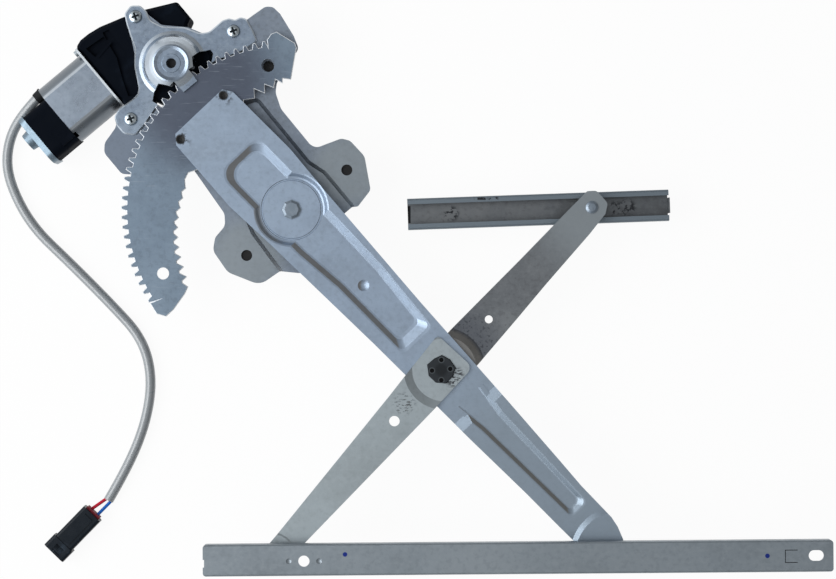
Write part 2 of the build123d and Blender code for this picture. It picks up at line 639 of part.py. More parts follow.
def end_cap():
    left, right = 19.5, CAN_W / 2 + 0.3
    face = Pos((left - right) / 2, 0) * RectangleRounded(left + right, CAN_D - 3.0, 9)
    plate = extrude(across(U_CAP_END, face), U_BELL_END - U_CAP_END, taper=-12)
    boss = extrude(across(U_BOSS_END, Circle(8.2)), U_CAP_END - U_BOSS_END + 1, taper=-10)
    hollow = extrude(across(U_BOSS_END + 2, Circle(5.0)), U_BELL_END - U_BOSS_END)
    return MOTOR_PLACE * (plate + boss - hollow)


def end_bearing():
    body = extrude(across(U_BOSS_END + 2.2, Circle(4.9)), 7.0)
    return MOTOR_PLACE * (body - extrude(across(U_BOSS_END + 1, Circle(2.55)), 12))


def brush_holder():
    face = Pos((BELL_LEFT - BELL_RIGHT) / 2, 0) * RectangleRounded(BELL_LEFT + BELL_RIGHT - 6, 30, 5)
    body = extrude(across(U_CAN_END - 17, face), 2.5)
    body = body - extrude(across(U_CAN_END - 18, Circle(6)), 5)
    for y in (11.8, -11.8):
        body = body + extrude(across(U_CAN_END - 14.5, Pos(y, 0) * Rectangle(7, 8)), 8)
    return MOTOR_PLACE * body


SHAFT_R = 2.5
WORM_TURNS = 8
WORM_PITCH = 5.6


def armature_shaft():
    body = extrude(across(U_BOSS_END + 2.6, Circle(SHAFT_R)), U_WORM_END - U_BOSS_END - 8)
    worm = extrude(across(-24, Circle(4.4)), 48)
    for k in range(WORM_TURNS):
        worm = worm + extrude(across(-22.5 + k * WORM_PITCH, Circle(5.6)), WORM_PITCH / 2)
    return MOTOR_PLACE * (body + worm)


def armature_core():
    star = Circle(17.5) - Circle(2.5)
    for k in range(8):
        star = star - Rot(0, 0, k * 45 + 22) * (Pos(17, 0) * Rectangle(6, 3))
    return MOTOR_PLACE * extrude(across(U_CAN_END + 10, star), 30)


def commutator():
    body = extrude(across(U_CAN_END - 13, Circle(8) - Circle(2.5)), 13)
    return MOTOR_PLACE * body


GEARBOX = [(U_FLANGE + 2, -1), (U_FLANGE + 2, 69.7), (-50, 72.2), (-41, 72), (-29, 70.2), (-8, 63.7),
           (13, 55.7), (U_WORM_END, 42.5), (U_WORM_END, 23.5), (34, 21), (30, 17), (-40, -14)]
GEARBOX_WALL = 4.0
GEARBOX_R = 36.0
GEARBOX_TOP = 38.0
GEARBOX_FLOOR = 3.0
# Hollows in the housing's face, each with its depth: a pocket and a gully
GEARBOX_RELIEF = [([(-187, 146), (-178.5, 138.5), (-166, 151.5), (-171, 157)], 4.0),
                  ([(-172, 160.5), (-166.5, 163.5), (-151.5, 144), (-147.5, 121.5), (-141, 104), (-148.5, 103),
                    (-154, 118.5), (-159, 137.5)], 2.6)]
GEARBOX_RIDGE = [(-176, 138.0), (-164.3, 151.5)]
GEARBOX_BEVEL = 3.0
WHEEL_R = 26.6


def gearbox_housing():
    face = smooth(GEARBOX, [3, 4, 5, 3, 4, 8, 8, 4, 4, 3, 0, 0]) + Circle(GEARBOX_R)
    body = slab(face, GEARBOX_FLOOR, GEARBOX_TOP - GEARBOX_FLOOR)
    body = chamfer(body.edges().group_by(Axis.Z)[-1], GEARBOX_BEVEL)
    bosses = []
    for x, y in COVER_TABS:
        local = (MOTOR_PLACE.inverse() * Location((x, y, 0))).position
        reach = math.hypot(local.X, local.Y)
        turn = math.degrees(math.atan2(local.Y, local.X))
        ear = Rot(0, 0, turn) * (Pos(reach / 2, 0, 31) * Box(reach, 14, 12))
        body = body + ear + drum(8.5, 14, Z_PLATE, (local.X, local.Y))
        bosses.append((local.X, local.Y))
    inner = GEARBOX_R - GEARBOX_WALL
    body = body - slab(Circle(inner), 2.0, 30.0)
    body = body - extrude(across(U_FLANGE + 1, Circle(7.2)), U_WORM_END - U_FLANGE - 4)
    body = body + drum(13, 30, Z_PLATE + 2.4) - drum(6.55, 20, 60)
    for spot in bosses:
        body = body - drum(2.95, 20, 60, spot)
    body = MOTOR_PLACE * body
    for relief, depth in GEARBOX_RELIEF:
        body = body - slab(outline(relief), GEARBOX_TOP - depth, depth + 0.5)
    (x0, y0), (x1, y1) = GEARBOX_RIDGE
    length, turn = math.hypot(x1 - x0, y1 - y0), math.degrees(math.atan2(y1 - y0, x1 - x0))
    ridge = at((x0 + x1) / 2, (y0 + y1) / 2, GEARBOX_TOP, turn) * Box(length, 1.6, 1.8)
    return body + ridge


def gearbox_lid():
    body = drum(GEARBOX_R - GEARBOX_WALL - 0.1, 3.0, 5.3) + drum(GEARBOX_R - 1.5, 1.6, 3.0)
    return MOTOR_PLACE * (body - drum(4.5, 4.4, 9))


def worm_wheel():
    """Nylon wheel: its toothed rim stands a little clear of the worm."""
    rim = Circle(WHEEL_R)
    for k in range(36):
        rim = rim - Rot(0, 0, k * 10) * (Pos(WHEEL_R + 0.2, 0) * Rectangle(3.0, 2.3))
    body = extrude(Pos(0, 0, 14) * (rim - Circle(17)), 12)
    body = body + ring(18, 7.0, 17, 23)
    return MOTOR_PLACE * body


def rubber_damper():
    return MOTOR_PLACE * (ring(16.5, 7.0, 23.1, 29))


def output_shaft():
    return MOTOR_PLACE * (drum(4.4, 4.6, 9) + drum(7.0, 9, 29.2) + drum(6.5, 29.2, Z_SECTOR - 1.5)
                          + drum(4.45, Z_SECTOR - 1.5, 51.6))


def pinion():
    facing = PINION_ANGLE + 180
    first = facing + 180 / PINION_TEETH
    points = gear_points(PINION_TEETH, first, PINION_TEETH, 3)
    body = slab(outline(points), Z_SECTOR - 1.4, 5.4) - drum(4.45, Z_SECTOR - 3, 60)
    return at(SHAFT_AT[0], SHAFT_AT[1]) * body


# Gear cover

COVER = [(-149.5, 168), (-151.5, 177), (-146, 184.5), (-137, 184.5), (-131.5, 179.5),
         (-128, 171), (-117, 165.5), (-97, 165), (-83, 159.5), (-75, 160.5), (-63, 171), (-57, 173),
         (-51.5, 171.5), (-46.5, 174), (-41, 172.5), (-35, 162), (-31, 152), (-46, 142), (-68, 134),
         (-84, 124), (-104, 106), (-122, 92), (-133, 76), (-141, 67), (-152, 68.5), (-158.5, 76),
         (-160.5, 84), (-156.5, 90.5), (-139.5, 103.5), (-138.5, 110), (-142.5, 130), (-142, 146),
         (-146, 157)]
COVER_FILLETS = [4, 5, 5, 5, 6, 8, 12, 12, 10, 10, 6, 4, 3, 4, 5, 6, 3, 6, 8,
                 6, 6, 6, 6, 6, 7, 6, 5, 6, 4, 8, 14, 10, 6]
HUB_HOLE_R = 4.6
COVER_T = 2.0
COVER_ROLL = 1.3
GEAR_PLAY = 0.7
GEAR_WAY_R = 155.4          # from the main pivot: clear of the sector's teeth
MOUTH_R = 162.5             # and of the stop beyond them
TONGUE_L = 26.5
TONGUE_W = 17.0


# The pressed bell's outer and inner skins: radius from the shaft, height over the cover's underside
BELL_OUT = [(30.6, 0.5), (30.6, 2.0), (27.5, 4.0), (24.5, 8.5), (20.0, 13.0), (17.0, 15.6), (15.5, 16.2),
            (12.6, 15.2), (8.6, 15.2), (8.2, 15.9)]
BELL_IN = [(29.2, -1.0), (29.2, 0.9), (26.3, 3.0), (23.3, 7.6), (18.9, 11.9), (16.2, 13.8)]
BELL_HOLE_R = 29.0
CROWN_R = 16.6


def bell():
    crown, ceiling = BELL_OUT[-1][1], BELL_IN[-1][1]
    outer = [(0, BELL_OUT[0][1])] + BELL_OUT + [(0, crown)]
    inner = [(0, BELL_IN[0][1])] + BELL_IN + [(0, ceiling)]
    outer = spun([(r, Z_COVER + h) for r, h in outer], SHAFT_AT)
    return outer - spun([(r, Z_COVER + h) for r, h in inner], SHAFT_AT)


def gear_cover():
    sheet = slab(smooth(COVER, COVER_FILLETS), Z_COVER, COVER_T)
    sheet = chamfer(sheet.edges().group_by(Axis.Z)[-1], COVER_ROLL)
    sheet = sheet - drum(BELL_HOLE_R, Z_COVER - 1, Z_COVER + 9, SHAFT_AT)
    shell = bell()
    top = Z_COVER + 40
    over_gear = Z_SECTOR + SECTOR_T + GEAR_PLAY
    towards = at(SHAFT_AT[0], SHAFT_AT[1], 0, PINION_ANGLE + 180)
    tongue = towards * (Pos(TONGUE_L / 2, 0, over_gear + 10) * Box(TONGUE_L, TONGUE_W, 20))
    lip = towards * (Pos(TONGUE_L - 3, 0, over_gear + 1.1) * Box(6, TONGUE_W - 1, 2.2))
    inside = drum(GEAR_WAY_R, Z_COVER - 1, top)
    mouth = drum(MOUTH_R, Z_COVER + COVER_T, over_gear + 1.3)
    mouth = mouth & drum(BELL_OUT[0][0] + 0.5, Z_COVER, top, SHAFT_AT)
    windows = slab(outline(WINDOW_LEFT), Z_COVER - 1, 40) + slab(outline(WINDOW_RIGHT), Z_COVER - 1, 40)
    body = sheet + (shell - inside - mouth) - windows
    body = body + (shell & tongue) + lip + (shell & drum(CROWN_R, over_gear, top, SHAFT_AT))
    body = body - drum(HUB_HOLE_R, Z_COVER, top, SHAFT_AT)
    for x, y in COVER_TABS:
        body = body - drum(TAB_HOLE_R, Z_COVER - 1, Z_COVER + 3, (x, y))
    return body


def cover_screws():
    out = []
    for x, y in COVER_TABS:
        head = screw_head((x, y), Z_COVER + 2.0)
        out.append(head + drum(2.9, Z_PLATE - 14, Z_COVER + 2.0, (x, y)))
    return Compound(out)


def cover_bush():
    return ring(7.2, 4.5, 51.3, Z_COVER + 13.8, SHAFT_AT)


# Cord: the sheath lies on the surface, in the curves shown

CORD_ROUTE = [(-234.9, 103.6, 14.0), (-253.2, 86.2, 8.0), (-265.2, 58.0, CORD_D / 2),
              (-263.5, 28.0, CORD_D / 2), (-242.5, -13.5, CORD_D / 2), (-206.0, -48.3, CORD_D / 2),
              (-168.5, -86.0, CORD_D / 2), (-140.2, -117.0, CORD_D / 2), (-130.7, -153.5, CORD_D / 2),
              (-136.8, -195.0, CORD_D / 2), (-153.8, -236.5, CORD_D / 2), (-171.2, -266.0, CORD_D / 2)]


def cord_sheath():
    points = [Vector(*p) for p in CORD_ROUTE]
    radii = []
    for a, b, c in zip(points, points[1:], points[2:]):
        turn = (b - a).get_angle(c - b)
        short = min((b - a).length, (c - b).length)
        radii.append(0.45 * short / math.tan(math.radians(turn / 2)))
    print("cord radii", [round(r) for r in radii])
    path = FilletPolyline(*points, radius=radii)
    section = Plane(origin=path @ 0, z_dir=path % 0) * Circle(CORD_D / 2)
    tube = sweep(section, path=path)
    exact = math.pi * (CORD_D / 2) ** 2 * path.length
    print("cord length", round(path.length, 1), "volume against section x length",
          round(tube.volume / exact, 4))
    return tube


WIRE_D = 3.0
CONNECTOR_AT = (-202.8, -295.8)
CONNECTOR_ANGLE = -134.2
CONNECTOR_L = 50.4
CONNECTOR_W = 20.5
CONNECTOR_H = 15.0
COLLAR_L = 13.0


def wire(start, end):
    a, b = Vector(*start), Vector(*end)
    face = Plane(origin=a, z_dir=(b - a)) * Circle(WIRE_D / 2)
    return extrude(face, (b - a).length)


def connector_point(x, y, z):
    spot = at(CONNECTOR_AT[0], CONNECTOR_AT[1], 0, CONNECTOR_ANGLE) * Location((x, y, z))
    return (spot.position.X, spot.position.Y, spot.position.Z)


def connector_housing():
    half = CONNECTOR_L / 2
    body = Pos(0, 0, CONNECTOR_H / 2) * Box(CONNECTOR_L, CONNECTOR_W, CONNECTOR_H)
    body = fillet(body.edges().filter_by(Axis.X), 3.0)
    collar = Box(COLLAR_L, CONNECTOR_W + 3, CONNECTOR_H + 0.8)
    collar = Pos(half - COLLAR_L / 2, 0, CONNECTOR_H / 2 + 0.4) * collar
    body = body + fillet(collar.edges().filter_by(Axis.X), 3.0)
    socket = Pos(half - 7, 0, CONNECTOR_H / 2) * Box(18, CONNECTOR_W - 5, CONNECTOR_H - 5.4)
    latch = Pos(half - 5.5, 0.5, CONNECTOR_H) * Box(7, 9, 8)
    ridge = Pos(-6, 0, CONNECTOR_H - 0.2) * Box(30, 9.5, 2.0)
    seat = Pos(-half, 0, CONNECTOR_H / 2) * Box(7, CONNECTOR_W - 5, CONNECTOR_H - 5)
    body = body - socket - latch + ridge - seat
    return at(CONNECTOR_AT[0], CONNECTOR_AT[1], 0, CONNECTOR_ANGLE) * body


def connector_seal():
    body = Pos(-CONNECTOR_L / 2 + 0.6, 0, CONNECTOR_H / 2) * Box(5.7, CONNECTOR_W - 5.1, CONNECTOR_H - 5.1)
    return at(CONNECTOR_AT[0], CONNECTOR_AT[1], 0, CONNECTOR_ANGLE) * body


WIRE_PLACES = (-4.2, 4.2)


def connector_terminals():
    out = []
    for y in WIRE_PLACES:
        blade = Pos(CONNECTOR_L / 2 - 13.5, y, CONNECTOR_H / 2) * Box(5, 3.0, 0.8)
        out.append(at(CONNECTOR_AT[0], CONNECTOR_AT[1], 0, CONNECTOR_ANGLE) * blade)
    return Compound(out)


def cable_grommet():
    """Rubber sleeve where the lead leaves the can's end wall."""
    start = MOTOR_PLACE.inverse() * Location(CORD_ROUTE[0])
    spot = (start.position.Y - WORM_OFFSET, start.position.Z - MOTOR_Z)
    flange = extrude(across(U_CAN_END - 1.5, Pos(*spot) * Circle(CORD_D / 2 + 1.6)), 1.5)
    reach = U_CAN_END - start.position.X + 2.0
    sleeve = extrude(across(U_CAN_END - reach, Pos(*spot) * Circle(CORD_D / 2 + 0.5)), reach, taper=-6)
    return MOTOR_PLACE * (flange + sleeve)


def build():
    add("base_plate", base_plate())
    add("weld_nuts", weld_nuts())
    add("main_pivot_pin", main_pivot_pin())
    add("gear_cover", gear_cover())
    add("cover_screws", cover_screws())
    add("cover_bush", cover_bush())
    add("gearbox_housing", gearbox_housing())
    add("gearbox_lid", gearbox_lid())
    add("motor_can", motor_can())
    add("motor_flange", motor_flange())
    add("flange_screws", flange_screws())
    add("magnets", magnets())
    add("motor_end_bell", end_bell())
    add("motor_end_cap", end_cap())
    add("end_bearing", end_bearing())
    add("brush_holder", brush_holder())
    add("cable_grommet", cable_grommet())
    add("armature_shaft", armature_shaft())
    add("armature_core", armature_core())
    add("commutator", commutator())
    add("worm_wheel", worm_wheel())
    add("rubber_damper", rubber_damper())
    add("output_shaft", output_shaft())
    add("pinion", pinion())
    add("sector_gear", sector_gear())
    add("lift_arm", lift_arm())
    add("arm_rivets", arm_rivets())
    add("lift_roller_pin", lift_roller_pin())
    add("cross_arm_front", cross_front())
    add("cross_arm_rear", cross_rear())
    add("centre_hub", centre_hub())
    add("guide_roller_pin", guide_roller_pin())
    add("top_roller_pin", top_roller_pin())
    rail_inside = Z_GLASS_RAIL + RAIL_T + ROLLER_GAP
    add("lift_roller", roller(A_AT, rail_inside, Z_ARM_END + ARM_T + 0.2))
    add("guide_roller", roller(C_AT, rail_inside, Z_FRONT_END + ARM_T + 0.2))
    add("top_roller", roller(B_AT, Z_TOP_RAIL + RAIL_T + ROLLER_GAP, Z_REAR - 0.2))
    add("glass_rail", glass_rail())
    add("top_rail", top_rail())
    add("rail_studs", rail_studs())
    add("cord_sheath", cord_sheath())
    end = CORD_ROUTE[-1]
    before = CORD_ROUTE[-2]
    way = Vector(end[0] - before[0], end[1] - before[1], 0).normalized()
    side = Vector(-way.Y, way.X, 0)
    for name, y, shift in (("wire_red", WIRE_PLACES[0], -2.4), ("wire_blue", WIRE_PLACES[1], 2.4)):
        start = Vector(end[0], end[1], end[2]) + side * shift
        add(name, wire((start.X, start.Y, start.Z), connector_point(-CONNECTOR_L / 2 + 2, y, CONNECTOR_H / 2)))
    add("connector_housing", connector_housing())
    add("connector_seal", connector_seal())
    add("connector_terminals", connector_terminals())


CORD_NODES = ("cord_sheath", "wire_red", "wire_blue", "connector_housing", "connector_seal",
              "connector_terminals")

build()
rigid = Compound([s for n, s in nodes.items() if n not in CORD_NODES])
box = rigid.bounding_box()
print("box", box.min, box.max)
print("box centre", round((box.min.X + box.max.X) / 2, 3), round((box.min.Y + box.max.Y) / 2, 3))
for label, spot in (("M", M_AT), ("B", B_AT), ("A", A_AT), ("C", C_AT), ("shaft", SHAFT_AT)):
    print(label, round(spot[0] + PIVOT[0], 2), round(spot[1] + PIVOT[1], 2))
for name, shape in nodes.items():
    export_step(shape, f"parts/{name}.step")
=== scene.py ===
# Surfaces, lead, floor, light and camera of a window regulator

import math

import bpy
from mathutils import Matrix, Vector


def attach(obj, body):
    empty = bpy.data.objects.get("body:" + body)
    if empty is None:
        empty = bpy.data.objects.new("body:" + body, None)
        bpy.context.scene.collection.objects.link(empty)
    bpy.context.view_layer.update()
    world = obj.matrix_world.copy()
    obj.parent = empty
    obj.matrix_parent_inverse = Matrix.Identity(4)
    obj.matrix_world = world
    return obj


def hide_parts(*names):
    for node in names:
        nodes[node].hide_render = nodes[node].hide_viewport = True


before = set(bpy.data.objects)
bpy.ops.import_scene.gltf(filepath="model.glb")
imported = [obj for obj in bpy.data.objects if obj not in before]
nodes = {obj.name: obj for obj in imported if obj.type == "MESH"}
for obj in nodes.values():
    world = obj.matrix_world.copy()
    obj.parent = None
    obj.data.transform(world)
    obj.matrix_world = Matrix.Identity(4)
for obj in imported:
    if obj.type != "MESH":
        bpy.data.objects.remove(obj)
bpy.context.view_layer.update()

# Places in the row frame, in millimetres
PIVOT = (-116.96, 69.63)
CENTRE = (19.65, -74.52)
TOP_END = (153.92, 71.8)
HUB_HEAD = (CENTRE[0] - 1.8, CENTRE[1])

# Holes in the hub's head, in millimetres from its middle
HUB_HOLES = [(0.0, 9.0), (-8.4, -0.6), (0.0, -9.2), (8.0, 0.9)]

# Screws and rivets, in millimetres from the main pivot
COVER_SCREWS = [(-141.2, 174.2), (-52.6, 161.1), (-145.2, 81.9)]
ARM_RIVETS = [(-60.8, 102.6), (-99.5, 63.0)]

# Directions of the rubbed marks, in degrees
MOTOR_TURN = 40.0
ARM_TURN = -46.5
CROSS_TURN = 47.5
RAIL_TURN = 0.5
TOP_RAIL_TURN = 2.0

# How far up a face has to look, from where a mark on it starts to where it is full
LOOKS_UP = (0.2, 0.6)

# The part of a noise's range where most of it lies
NOISE_RANGE = (0.25, 0.75)

# Colours of edges, marks and worn places, and of painted highlights and painted shade, as they are
# seen on a screen
# Brownish painted shade on walls that face away from the light
BROWN_WALL_SHADE = (146, 132, 108)
OIL_FILM = (28, 27, 26)
# Painted highlight on the base plate's step
STEP_HIGHLIGHT = (246, 249, 252)
SHADED_CORNER = (104, 115, 130)
PALE_EAR = (142, 150, 153)
# Painted highlight on rolled edges
ROLLED_EDGE_HIGHLIGHT = (214, 223, 231)
# Painted highlight on sheared edges
SHEARED_EDGE_HIGHLIGHT = (236, 240, 244)
GREYER_ARM = (138, 150, 159)
GREASE = (50, 54, 60)
THIN_GREASE = (72, 76, 82)
# Purple tinge with painted shade, on the sector near the cover
PURPLE_TINGE_AND_SHADE = (74, 78, 92)
SCRATCH = (150, 160, 172)
DIRT = (92, 96, 98)
SMEAR = (62, 64, 68)
# Darker round the hub, with dark speckles and a paler ring there
DARKER_NEAR_HUB = (86, 90, 98)
DARK_SPECKS = (54, 56, 62)
PALER_RING = (136, 134, 130)
PALE_END = (146, 154, 159)
PEN_BLUE = (30, 50, 130)
# Painted shade under lanced slits
SLIT_SHADE = (40, 42, 44)
STAIN = (44, 46, 50)
SCUFF = (40, 42, 46)
# Painted light on the rail's lips
LIP_PAINTED_LIGHT = (116, 127, 136)
# Painted shade at the rail's cut end
CUT_END_SHADE = (18, 20, 22)
# Painted shade in screw recesses
RECESS_SHADE = (34, 40, 44)
HUB_MIDDLE = (34, 37, 40)
# Painted highlight round hole rims, and painted shade inside holes
HOLE_RIM_HIGHLIGHT = (98, 104, 108)
HOLE_SHADE = (4, 6, 8)
# Painted highlight along the motor can's flat edges, and painted shade on its round sides
CAN_EDGE_HIGHLIGHT = (222, 229, 235)
CAN_SIDE_SHADE = (94, 101, 108)
PALE_SHEATH = (148, 154, 158)
HANDLED_SHEATH = (120, 125, 129)
FLOOR_TINT = (253, 254, 255)

# The lead's sheath: thickness in millimetres, length in metres, and its route in millimetres,
# across and up from the main pivot and high from the floor
CORD_D = 9.4
CORD_ROUTE = [(-234.9, 103.6, 14.0), (-253.2, 86.2, 8.0), (-265.2, 58.0, CORD_D / 2),
              (-263.5, 28.0, CORD_D / 2), (-242.5, -13.5, CORD_D / 2), (-206.0, -48.3, CORD_D / 2),
              (-168.5, -86.0, CORD_D / 2), (-140.2, -117.0, CORD_D / 2), (-130.7, -153.5, CORD_D / 2),
              (-136.8, -195.0, CORD_D / 2), (-153.8, -236.5, CORD_D / 2), (-171.2, -266.0, CORD_D / 2)]

# Floor, in metres, just under the lowest piece, with the share of plain white that is seen in it
FLOOR_HALF = 6.0
FLOOR_Z = -0.0005
FLOOR_GLOW = 0.94

# The room's light brightens towards ROOM_SIDE through ROOM_COLOURS, over the range ROOM_SPREAD of
# the cosine to that side, and ROOM_MIDDLE is where the middle colour stands in that range
ROOM_SIDE = (-0.95, -0.1, 0.3)
ROOM_COLOURS = [(0.8, 0.79, 0.77), (0.95, 0.97, 1.0), (4.0, 4.1, 4.2)]
ROOM_MIDDLE = 0.62
ROOM_SPREAD = (-0.8, 1.0)
ROOM_LEVEL = 0.24
ROOM_LEVEL_IN_GLOSS = 0.38

# Lamps: name, place and size in metres, power in watts
LAMPS = [("left_window", (-1.4, -0.1, 1.3), (2.0, 1.3), 21.5),
         ("overhead", (0.3, 0.1, 3.0), (3.2, 2.6), 7.0)]

# Camera, in millimetres: its place, and the width it sees at the height of the arms
CAMERA_AT = (-3.1, -2.4, 1950.0)
VIEW_WIDTH = 752.4
VIEW_HEIGHT = 50.0


def srgb(r, g, b):
    """Linear colour of a colour as it is seen on a screen, 0 to 255."""
    out = []
    for c in (r, g, b):
        c = c / 255
        out.append(c / 12.92 if c <= 0.04045 else ((c + 0.055) / 1.055) ** 2.4)
    return (*out, 1.0)


def from_pivot(place):
    """Place in the row frame of a place that is given from the main pivot."""
    return PIVOT[0] + place[0], PIVOT[1] + place[1]


class Paint:
    """A node material: layers of colour over object coordinates, with roughness and bump."""

    def __init__(self, name, colour, metallic=0.0, rough=0.5):
        self.material = bpy.data.materials.new(name)
        self.material.use_nodes = True
        self.tree = self.material.node_tree
        self.shader = self.tree.nodes["Principled BSDF"]
        self.set("Metallic", metallic)
        self.set("Roughness", rough)
        self.set("Base Color", srgb(*colour))
        self.place = self.node("ShaderNodeTexCoord").outputs["Object"]
        self.start = srgb(*colour)
        self.colour = None

    def set(self, socket, value):
        self.shader.inputs[socket].default_value = value

    def node(self, kind, **values):
        made = self.tree.nodes.new(kind)
        for key, value in values.items():
            setattr(made, key, value)
        return made

    def link(self, a, b):
        self.tree.links.new(a, b)

    def ramp(self, value, low, high, to_low=0.0, to_high=1.0):
        """A smooth step from to_low at low to to_high at high, which may also be the smaller one."""
        made = self.node("ShaderNodeMapRange")
        made.interpolation_type = "SMOOTHSTEP"
        self.link(value, made.inputs["Value"])
        made.inputs["From Min"].default_value = low
        made.inputs["From Max"].default_value = high
        made.inputs["To Min"].default_value = to_low
        made.inputs["To Max"].default_value = to_high
        return made.outputs["Result"]

    def noise(self, scale, detail=3.0, stretch=(1, 1, 1), turn=0.0):
        spread = self.node("ShaderNodeMapping")
        spread.inputs["Rotation"].default_value = (0, 0, math.radians(-turn))
        spread.inputs["Scale"].default_value = stretch
        self.link(self.place, spread.inputs["Vector"])
        made = self.node("ShaderNodeTexNoise")
        made.inputs["Scale"].default_value = scale
        made.inputs["Detail"].default_value = detail
        made.inputs["Roughness"].default_value = 0.55
        self.link(spread.outputs["Vector"], made.inputs["Vector"])
        return made.outputs["Fac"]

    def cells(self, scale):
        made = self.node("ShaderNodeTexVoronoi")
        made.inputs["Scale"].default_value = scale
        self.link(self.place, made.inputs["Vector"])
        parts = self.node("ShaderNodeSeparateColor")
        self.link(made.outputs["Color"], parts.inputs["Color"])
        return parts.outputs["Red"]

    def distance(self, x, y):
        """Distance in metres to the upright line through a place in millimetres."""
        flat = self.node("ShaderNodeVectorMath", operation="MULTIPLY")
        flat.inputs[1].default_value = (1, 1, 0)
        self.link(self.place, flat.inputs[0])
        made = self.node("ShaderNodeVectorMath", operation="DISTANCE")
        made.inputs[1].default_value = (x / 1000, y / 1000, 0)
        self.link(flat.outputs["Vector"], made.inputs[0])
        return made.outputs["Value"]

    def side(self, which):
        """Component of the surface's own direction, which turns with the piece."""
        facing = self.node("ShaderNodeTexCoord")
        parts = self.node("ShaderNodeSeparateXYZ")
        self.link(facing.outputs["Normal"], parts.inputs["Vector"])
        return parts.outputs[which]

    def combine(self, a, b, operation="MULTIPLY"):
        made = self.node("ShaderNodeMath", operation=operation)
        made.use_clamp = True
        for slot, value in zip(made.inputs, (a, b)):
            if isinstance(value, (int, float)):
                slot.default_value = value
            else:
                self.link(value, slot)
        return made.outputs["Value"]

    def past(self, which, start, full):
        """A mask along one axis, 0 before start and 1 after full, in millimetres."""
        parts = self.node("ShaderNodeSeparateXYZ")
        self.link(self.place, parts.inputs["Vector"])
        return self.ramp(parts.outputs[which], start / 1000, full / 1000)

    def near(self, place, radius, soft):
        """A mask that is 1 within a radius of a place, in millimetres, on the faces that look up."""
        inside = self.ramp(self.distance(*place), (radius + soft) / 1000, radius / 1000)
        return self.combine(inside, self.ramp(self.side("Z"), *LOOKS_UP))

    def edges(self, flat, steep):
        """A mask for the faces that lean, whichever side of the sheet they are on."""
        size = self.node("ShaderNodeMath", operation="ABSOLUTE")
        self.link(self.side("Z"), size.inputs[0])
        return self.ramp(size.outputs["Value"], flat, steep)

    def layer(self, mask, colour, share=1.0):
        """Puts a share of a colour over what is there, where the mask is."""
        if share < 1.0:
            mask = self.combine(mask, share)
        mix = self.node("ShaderNodeMix", data_type="RGBA")
        self.link(mask, mix.inputs["Factor"])
        if self.colour is None:
            mix.inputs["A"].default_value = self.start
        else:
            self.link(self.colour, mix.inputs["A"])
        mix.inputs["B"].default_value = srgb(*colour)
        self.colour = mix.outputs["Result"]
        self.link(self.colour, self.shader.inputs["Base Color"])

    def roughness(self, mask, low, high):
        self.link(self.ramp(mask, *NOISE_RANGE, low, high), self.shader.inputs["Roughness"])

    def bump(self, height, strength, distance=0.0002):
        made = self.node("ShaderNodeBump")
        made.inputs["Strength"].default_value = strength
        made.inputs["Distance"].default_value = distance
        self.link(height, made.inputs["Height"])
        self.link(made.outputs["Normal"], self.shader.inputs["Normal"])

    def on(self, *names):
        for name in names:
            slots = nodes[name].material_slots
            if not slots:
                nodes[name].data.materials.append(self.material)
            for slot in slots:
                slot.material = self.material


def metal(name, colour, light, dark, metallic, rough, turn=0.0, cloud=0.5):
    """Bare or zinc-coated metal: cloudy patches, spangle, fine grain and rubbed marks."""
    paint = Paint(name, colour, metallic, rough)
    clouds = paint.noise(11.0, 4.0)
    paint.layer(paint.ramp(clouds, 0.48, 0.72), light, cloud)
    paint.layer(paint.ramp(clouds, 0.5, 0.28), dark, cloud)
    spangle = paint.cells(210.0)
    paint.layer(paint.ramp(spangle, 0.5, 1.0), light, 0.14)
    mottle = paint.noise(230.0)
    paint.layer(paint.ramp(mottle, 0.52, 0.68), light, 0.3)
    paint.layer(paint.ramp(mottle, 0.48, 0.34), dark, 0.3)
    speck = paint.noise(480.0, 2.0)
    paint.layer(paint.ramp(speck, 0.66, 0.74), dark, 0.45)
    rub = paint.noise(30.0, 4.0, (1, 9, 1), turn)
    paint.layer(paint.ramp(rub, 0.58, 0.72), light, 0.22)
    paint.roughness(paint.noise(60.0), rough - 0.05, rough + 0.08)
    paint.bump(paint.noise(900.0), 0.2, 0.00006)
    return paint


def wall_shade(paint, share):
    """Brownish painted shade on the pressed walls that face right, away from the light."""
    right = paint.ramp(paint.side("X"), 0.12, 0.4)
    leaning = paint.combine(paint.ramp(paint.side("Z"), 0.99, 0.93),
                            paint.ramp(paint.side("Z"), 0.2, 0.5))
    paint.layer(paint.combine(right, leaning), BROWN_WALL_SHADE, share)


def plastic(name, colour, light, rough=0.35, grain=1500.0, depth=0.12, shine=0.2):
    """Moulded plastic: fine grain, with paler patches: faint scuffs, and on the slate connector
    painted highlights too.
    """
    paint = Paint(name, colour, 0.0, rough)
    paint.set("Specular IOR Level", shine)
    paint.layer(paint.ramp(paint.noise(40.0, 4.0), 0.55, 0.75), light, 0.6)
    paint.roughness(paint.noise(90.0), rough - 0.07, rough + 0.12)
    paint.bump(paint.noise(grain, 2.0), depth, 0.00008)
    return paint


# Sheet metal

